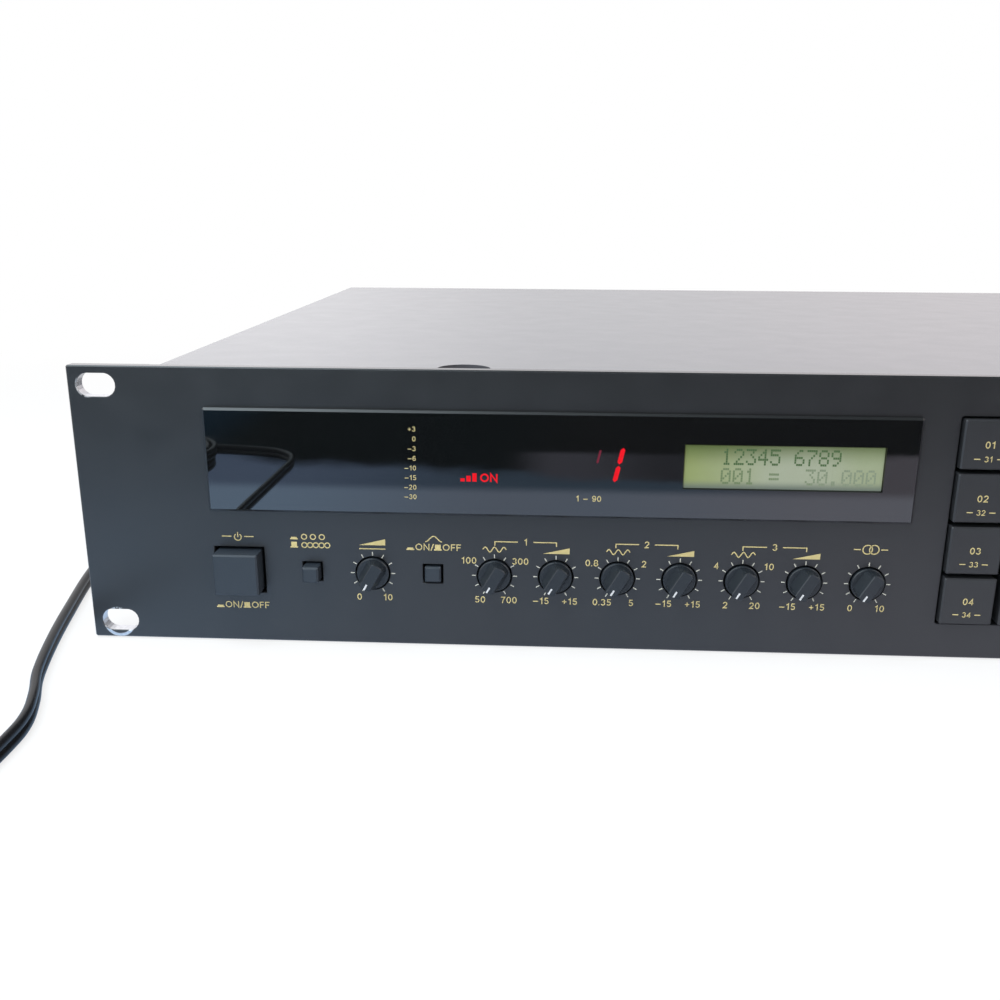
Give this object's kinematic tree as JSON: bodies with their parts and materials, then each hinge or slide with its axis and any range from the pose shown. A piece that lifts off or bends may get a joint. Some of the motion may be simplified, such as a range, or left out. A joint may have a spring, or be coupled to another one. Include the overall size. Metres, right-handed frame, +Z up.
{
  "type": "rack effects unit",
  "caption": "Rack-mount effects unit: slotted front panel with bevelled display window, grip-bar knobs, push buttons and key blocks, folded steel case, mains lead in a tied coil.",
  "frame": {"origin": "on the surface the unit stands on, under the middle of the unit's box without its lead", "axes": "+X to the right of someone who faces the controls, +Y from the controls to the rear sockets, +Z up"},
  "size_m": [0.5947, 0.6264, 0.0884],
  "materials": {
    "panel_paint": "matte",
    "smoked_acrylic": "gloss",
    "case_paint": "satin",
    "cord_vinyl": "satin",
    "tie_webbing": "matte",
    "board_laminate": "satin",
    "lcd_glass": "gloss",
    "core_steel": "matte",
    "moulded_black": "satin",
    "foot_rubber": "matte",
    "plated_steel": "satin",
    "key_grey": "matte"
  },
  "bodies": {
    "unit": {"front_panel": "panel_paint", "display_window": "smoked_acrylic", "top_cover": "case_paint", "bottom_chassis": "case_paint", "rear_panel": "case_paint", "front_rail": "case_paint", "cord_bushing": "cord_vinyl", "power_cord": "cord_vinyl", "cord_coil": "cord_vinyl", "power_plug": "cord_vinyl", "coil_tie": "tie_webbing", "control_board": "board_laminate", "indicator_board": "board_laminate", "main_board": "board_laminate", "lcd_module": "lcd_glass", "power_transformer": "core_steel", "midi_socket_block": "moulded_black", "foot_front_left": "foot_rubber", "foot_front_right": "foot_rubber", "foot_rear_left": "foot_rubber", "foot_rear_right": "foot_rubber", "input_socket_left": "plated_steel", "input_socket_right": "plated_steel", "output_socket_left": "plated_steel", "output_socket_right": "plated_steel"},
    "input_level_knob": {"input_level_knob": "moulded_black"},
    "lo_freq_knob": {"lo_freq_knob": "moulded_black"},
    "lo_level_knob": {"lo_level_knob": "moulded_black"},
    "mid_freq_knob": {"mid_freq_knob": "moulded_black"},
    "mid_level_knob": {"mid_level_knob": "moulded_black"},
    "hi_freq_knob": {"hi_freq_knob": "moulded_black"},
    "hi_level_knob": {"hi_level_knob": "moulded_black"},
    "mixing_knob": {"mixing_knob": "moulded_black"},
    "power_button": {"power_button": "moulded_black"},
    "mono_stereo_button": {"mono_stereo_button": "moulded_black"},
    "eq_button": {"eq_button": "moulded_black"},
    "program_key_1": {"program_key_1": "key_grey"},
    "program_key_2": {"program_key_2": "key_grey"},
    "program_key_3": {"program_key_3": "key_grey"},
    "program_key_4": {"program_key_4": "key_grey"},
    "program_key_5": {"program_key_5": "key_grey"},
    "program_key_6": {"program_key_6": "key_grey"},
    "program_key_7": {"program_key_7": "key_grey"},
    "program_key_8": {"program_key_8": "key_grey"},
    "program_key_9": {"program_key_9": "key_grey"},
    "program_key_10": {"program_key_10": "key_grey"},
    "program_key_11": {"program_key_11": "key_grey"},
    "program_key_12": {"program_key_12": "key_grey"},
    "program_key_13": {"program_key_13": "key_grey"},
    "program_key_14": {"program_key_14": "key_grey"},
    "program_key_15": {"program_key_15": "key_grey"},
    "program_key_16": {"program_key_16": "key_grey"},
    "edit_key_1": {"edit_key_1": "key_grey"},
    "edit_key_2": {"edit_key_2": "key_grey"},
    "edit_key_3": {"edit_key_3": "key_grey"},
    "edit_key_4": {"edit_key_4": "key_grey"},
    "edit_key_5": {"edit_key_5": "key_grey"},
    "edit_key_6": {"edit_key_6": "key_grey"},
    "edit_key_7": {"edit_key_7": "key_grey"},
    "edit_key_8": {"edit_key_8": "key_grey"}
  },
  "joints": [
    {"name": "input_level_turn", "type": "hinge", "parent": "unit", "child": "input_level_knob", "pos_m": [-0.1501, -0.1541, 0.0242], "axis": [0, 1, 0], "range_deg": [0, 300]},
    {"name": "lo_freq_turn", "type": "hinge", "parent": "unit", "child": "lo_freq_knob", "pos_m": [-0.112, -0.1541, 0.0242], "axis": [0, 1, 0], "range_deg": [0, 300]},
    {"name": "lo_level_turn", "type": "hinge", "parent": "unit", "child": "lo_level_knob", "pos_m": [-0.09295, -0.1541, 0.0242], "axis": [0, 1, 0], "range_deg": [0, 300]},
    {"name": "mid_freq_turn", "type": "hinge", "parent": "unit", "child": "mid_freq_knob", "pos_m": [-0.0739, -0.1541, 0.0242], "axis": [0, 1, 0], "range_deg": [0, 300]},
    {"name": "mid_level_turn", "type": "hinge", "parent": "unit", "child": "mid_level_knob", "pos_m": [-0.05485, -0.1541, 0.0242], "axis": [0, 1, 0], "range_deg": [0, 300]},
    {"name": "hi_freq_turn", "type": "hinge", "parent": "unit", "child": "hi_freq_knob", "pos_m": [-0.0358, -0.1541, 0.0242], "axis": [0, 1, 0], "range_deg": [0, 300]},
    {"name": "hi_level_turn", "type": "hinge", "parent": "unit", "child": "hi_level_knob", "pos_m": [-0.01675, -0.1541, 0.0242], "axis": [0, 1, 0], "range_deg": [0, 300]},
    {"name": "mixing_turn", "type": "hinge", "parent": "unit", "child": "mixing_knob", "pos_m": [0.0023, -0.1541, 0.0242], "axis": [0, 1, 0], "range_deg": [0, 300]},
    {"name": "power_push", "type": "slide", "parent": "unit", "child": "power_button", "axis": [0, 1, 0], "range_m": [-0.0035, 0.0008]},
    {"name": "mono_stereo_push", "type": "slide", "parent": "unit", "child": "mono_stereo_button", "axis": [0, 1, 0], "range_m": [0, 0.003]},
    {"name": "eq_push", "type": "slide", "parent": "unit", "child": "eq_button", "axis": [0, 1, 0], "range_m": [-0.003, 0.0005]},
    {"name": "program_key_1_press", "type": "slide", "parent": "unit", "child": "program_key_1", "axis": [0, 1, 0], "range_m": [0, 0.001], "stiffness_N_per_m": 800},
    {"name": "program_key_2_press", "type": "slide", "parent": "unit", "child": "program_key_2", "axis": [0, 1, 0], "range_m": [0, 0.001], "stiffness_N_per_m": 800},
    {"name": "program_key_3_press", "type": "slide", "parent": "unit", "child": "program_key_3", "axis": [0, 1, 0], "range_m": [0, 0.001], "stiffness_N_per_m": 800},
    {"name": "program_key_4_press", "type": "slide", "parent": "unit", "child": "program_key_4", "axis": [0, 1, 0], "range_m": [0, 0.001], "stiffness_N_per_m": 800},
    {"name": "program_key_5_press", "type": "slide", "parent": "unit", "child": "program_key_5", "axis": [0, 1, 0], "range_m": [0, 0.001], "stiffness_N_per_m": 800},
    {"name": "program_key_6_press", "type": "slide", "parent": "unit", "child": "program_key_6", "axis": [0, 1, 0], "range_m": [0, 0.001], "stiffness_N_per_m": 800},
    {"name": "program_key_7_press", "type": "slide", "parent": "unit", "child": "program_key_7", "axis": [0, 1, 0], "range_m": [0, 0.001], "stiffness_N_per_m": 800},
    {"name": "program_key_8_press", "type": "slide", "parent": "unit", "child": "program_key_8", "axis": [0, 1, 0], "range_m": [0, 0.001], "stiffness_N_per_m": 800},
    {"name": "program_key_9_press", "type": "slide", "parent": "unit", "child": "program_key_9", "axis": [0, 1, 0], "range_m": [0, 0.001], "stiffness_N_per_m": 800},
    {"name": "program_key_10_press", "type": "slide", "parent": "unit", "child": "program_key_10", "axis": [0, 1, 0], "range_m": [0, 0.001], "stiffness_N_per_m": 800},
    {"name": "program_key_11_press", "type": "slide", "parent": "unit", "child": "program_key_11", "axis": [0, 1, 0], "range_m": [0, 0.001], "stiffness_N_per_m": 800},
    {"name": "program_key_12_press", "type": "slide", "parent": "unit", "child": "program_key_12", "axis": [0, 1, 0], "range_m": [0, 0.001], "stiffness_N_per_m": 800},
    {"name": "program_key_13_press", "type": "slide", "parent": "unit", "child": "program_key_13", "axis": [0, 1, 0], "range_m": [0, 0.001], "stiffness_N_per_m": 800},
    {"name": "program_key_14_press", "type": "slide", "parent": "unit", "child": "program_key_14", "axis": [0, 1, 0], "range_m": [0, 0.001], "stiffness_N_per_m": 800},
    {"name": "program_key_15_press", "type": "slide", "parent": "unit", "child": "program_key_15", "axis": [0, 1, 0], "range_m": [0, 0.001], "stiffness_N_per_m": 800},
    {"name": "program_key_16_press", "type": "slide", "parent": "unit", "child": "program_key_16", "axis": [0, 1, 0], "range_m": [0, 0.001], "stiffness_N_per_m": 800},
    {"name": "edit_key_1_press", "type": "slide", "parent": "unit", "child": "edit_key_1", "axis": [0, 1, 0], "range_m": [0, 0.001], "stiffness_N_per_m": 800},
    {"name": "edit_key_2_press", "type": "slide", "parent": "unit", "child": "edit_key_2", "axis": [0, 1, 0], "range_m": [0, 0.001], "stiffness_N_per_m": 800},
    {"name": "edit_key_3_press", "type": "slide", "parent": "unit", "child": "edit_key_3", "axis": [0, 1, 0], "range_m": [0, 0.001], "stiffness_N_per_m": 800},
    {"name": "edit_key_4_press", "type": "slide", "parent": "unit", "child": "edit_key_4", "axis": [0, 1, 0], "range_m": [0, 0.001], "stiffness_N_per_m": 800},
    {"name": "edit_key_5_press", "type": "slide", "parent": "unit", "child": "edit_key_5", "axis": [0, 1, 0], "range_m": [0, 0.001], "stiffness_N_per_m": 800},
    {"name": "edit_key_6_press", "type": "slide", "parent": "unit", "child": "edit_key_6", "axis": [0, 1, 0], "range_m": [0, 0.001], "stiffness_N_per_m": 800},
    {"name": "edit_key_7_press", "type": "slide", "parent": "unit", "child": "edit_key_7", "axis": [0, 1, 0], "range_m": [0, 0.001], "stiffness_N_per_m": 800},
    {"name": "edit_key_8_press", "type": "slide", "parent": "unit", "child": "edit_key_8", "axis": [0, 1, 0], "range_m": [0, 0.001], "stiffness_N_per_m": 800}
  ]
}
